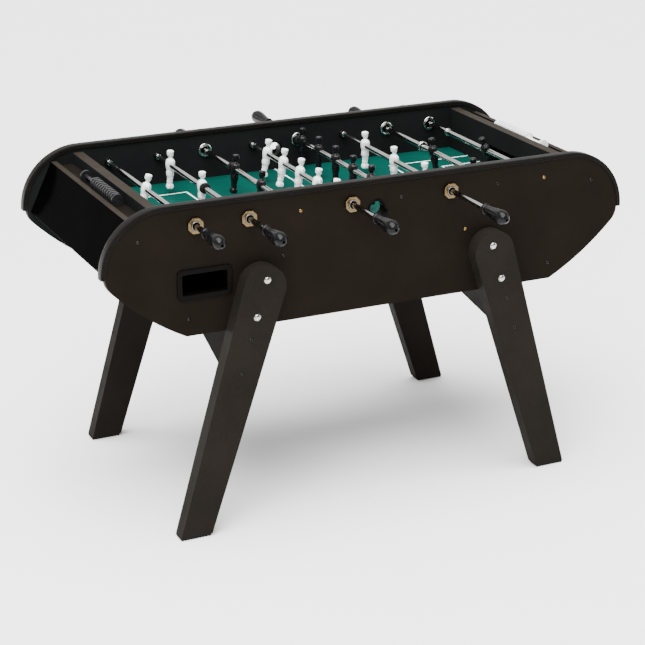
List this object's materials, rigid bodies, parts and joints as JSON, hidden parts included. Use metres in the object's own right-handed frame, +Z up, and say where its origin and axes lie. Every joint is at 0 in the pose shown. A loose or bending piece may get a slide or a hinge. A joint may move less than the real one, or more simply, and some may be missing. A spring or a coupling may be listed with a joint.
{
  "type": "foosball table",
  "caption": "Foosball table on splayed legs with telescopic rods of turning, sliding players, score counters at the ends and ball returns.",
  "frame": {"origin": "on the floor under the middle of the cabinet", "axes": "+X along the cabinet, +Y across it away from the near side, +Z up"},
  "size_m": [1.57, 1.3075, 0.933],
  "materials": {
    "dark_laminate": "satin dark laminate on board",
    "black_moulding": "satin black ribbed moulding",
    "black_gloss_board": "gloss black laminate on board",
    "taupe_board": "matt taupe laminate on board",
    "green_field": "green printed laminate with white lines",
    "plain_wood": "plain softwood",
    "black_board": "matt black board",
    "black_plastic": "satin",
    "black_rubber": "matt",
    "chrome": "polished",
    "black_steel": "satin black",
    "brass": "satin",
    "steel_bar": "drawn and polished",
    "white_plastic": "semi-gloss",
    "black_gloss_plastic": "gloss"
  },
  "bodies": {
    "cabinet": {"side_panel_near": "dark_laminate", "side_panel_far": "dark_laminate", "rim_mouldings": "black_moulding", "end_panels": "black_gloss_board", "goal_walls": "taupe_board", "score_shelves": "taupe_board", "counter_rail_left": "black_gloss_plastic", "counter_rail_right": "white_plastic", "playfield": "green_field", "cross_battens": "plain_wood", "underside_boards": "black_board", "ball_trays": "black_plastic", "opening_trims": "black_plastic", "leg_near_left": "dark_laminate", "leg_near_right": "dark_laminate", "leg_far_left": "dark_laminate", "leg_far_right": "dark_laminate", "leg_braces": "dark_laminate", "foot_pads": "black_rubber", "leg_bolts": "chrome", "wood_screws": "black_steel", "rod_bushings": "chrome", "rod_nuts": "brass", "bar_mounts": "chrome"},
    "bar_1": {"inner_bar_1": "steel_bar"},
    "rod_1": {"tube_1": "chrome", "players_1": "white_plastic", "handle_1": "black_gloss_plastic"},
    "bar_2": {"inner_bar_2": "steel_bar"},
    "rod_2": {"tube_2": "chrome", "players_2": "white_plastic", "handle_2": "black_gloss_plastic"},
    "bar_3": {"inner_bar_3": "steel_bar"},
    "rod_3": {"tube_3": "chrome", "players_3": "black_gloss_plastic", "handle_3": "black_gloss_plastic"},
    "bar_4": {"inner_bar_4": "steel_bar"},
    "rod_4": {"tube_4": "chrome", "players_4": "white_plastic", "handle_4": "black_gloss_plastic"},
    "bar_5": {"inner_bar_5": "steel_bar"},
    "rod_5": {"tube_5": "chrome", "players_5": "black_gloss_plastic", "handle_5": "black_gloss_plastic"},
    "bar_6": {"inner_bar_6": "steel_bar"},
    "rod_6": {"tube_6": "chrome", "players_6": "white_plastic", "handle_6": "black_gloss_plastic"},
    "bar_7": {"inner_bar_7": "steel_bar"},
    "rod_7": {"tube_7": "chrome", "players_7": "black_gloss_plastic", "handle_7": "black_gloss_plastic"},
    "bar_8": {"inner_bar_8": "steel_bar"},
    "rod_8": {"tube_8": "chrome", "players_8": "black_gloss_plastic", "handle_8": "black_gloss_plastic"},
    "tabs_left": {"score_tabs_left": "black_gloss_plastic"},
    "front_tab_left": {"score_tab_left_front": "black_gloss_plastic"},
    "tabs_right": {"score_tabs_right": "white_plastic"},
    "front_tab_right": {"score_tab_right_front": "white_plastic"}
  },
  "joints": [
    {"name": "rod_1_spin", "type": "hinge", "parent": "cabinet", "child": "bar_1", "pos_m": [-0.525, 0, 0.873], "axis": [0, 1, 0], "continuous": true},
    {"name": "rod_1_slide", "type": "slide", "parent": "bar_1", "child": "rod_1", "axis": [0, -1, 0], "range_m": [-0.0581, 0.1079]},
    {"name": "rod_2_spin", "type": "hinge", "parent": "cabinet", "child": "bar_2", "pos_m": [-0.375, 0, 0.873], "axis": [0, 1, 0], "continuous": true},
    {"name": "rod_2_slide", "type": "slide", "parent": "bar_2", "child": "rod_2", "axis": [0, -1, 0], "range_m": [-0.0672, 0.2688]},
    {"name": "rod_3_spin", "type": "hinge", "parent": "cabinet", "child": "bar_3", "pos_m": [-0.225, 0, 0.873], "axis": [0, 1, 0], "continuous": true},
    {"name": "rod_3_slide", "type": "slide", "parent": "bar_3", "child": "rod_3", "axis": [0, 1, 0], "range_m": [-0.0103, 0.1966]},
    {"name": "rod_4_spin", "type": "hinge", "parent": "cabinet", "child": "bar_4", "pos_m": [-0.075, 0, 0.873], "axis": [0, 1, 0], "continuous": true},
    {"name": "rod_4_slide", "type": "slide", "parent": "bar_4", "child": "rod_4", "axis": [0, -1, 0], "range_m": [-0.0738, 0.0471]},
    {"name": "rod_5_spin", "type": "hinge", "parent": "cabinet", "child": "bar_5", "pos_m": [0.075, 0, 0.873], "axis": [0, 1, 0], "continuous": true},
    {"name": "rod_5_slide", "type": "slide", "parent": "bar_5", "child": "rod_5", "axis": [0, 1, 0], "range_m": [-0.1185, 0.0024]},
    {"name": "rod_6_spin", "type": "hinge", "parent": "cabinet", "child": "bar_6", "pos_m": [0.225, 0, 0.873], "axis": [0, 1, 0], "continuous": true},
    {"name": "rod_6_slide", "type": "slide", "parent": "bar_6", "child": "rod_6", "axis": [0, -1, 0], "range_m": [-0.1159, 0.091]},
    {"name": "rod_7_spin", "type": "hinge", "parent": "cabinet", "child": "bar_7", "pos_m": [0.375, 0, 0.873], "axis": [0, 1, 0], "continuous": true},
    {"name": "rod_7_slide", "type": "slide", "parent": "bar_7", "child": "rod_7", "axis": [0, 1, 0], "range_m": [-0.0654, 0.2255]},
    {"name": "rod_8_spin", "type": "hinge", "parent": "cabinet", "child": "bar_8", "pos_m": [0.525, 0, 0.873], "axis": [0, 1, 0], "continuous": true},
    {"name": "rod_8_slide", "type": "slide", "parent": "bar_8", "child": "rod_8", "axis": [0, 1, 0], "range_m": [-0.0463, 0.1106]},
    {"name": "tabs_left_slide", "type": "slide", "parent": "cabinet", "child": "tabs_left", "axis": [0, 1, 0], "range_m": [0, 0.0365]},
    {"name": "front_tab_left_slide", "type": "slide", "parent": "tabs_left", "child": "front_tab_left", "axis": [0, 1, 0], "range_m": [0, 0.0365]},
    {"name": "tabs_right_slide", "type": "slide", "parent": "cabinet", "child": "tabs_right", "axis": [0, -1, 0], "range_m": [0, 0.0365]},
    {"name": "front_tab_right_slide", "type": "slide", "parent": "tabs_right", "child": "front_tab_right", "axis": [0, -1, 0], "range_m": [0, 0.0365]}
  ]
}
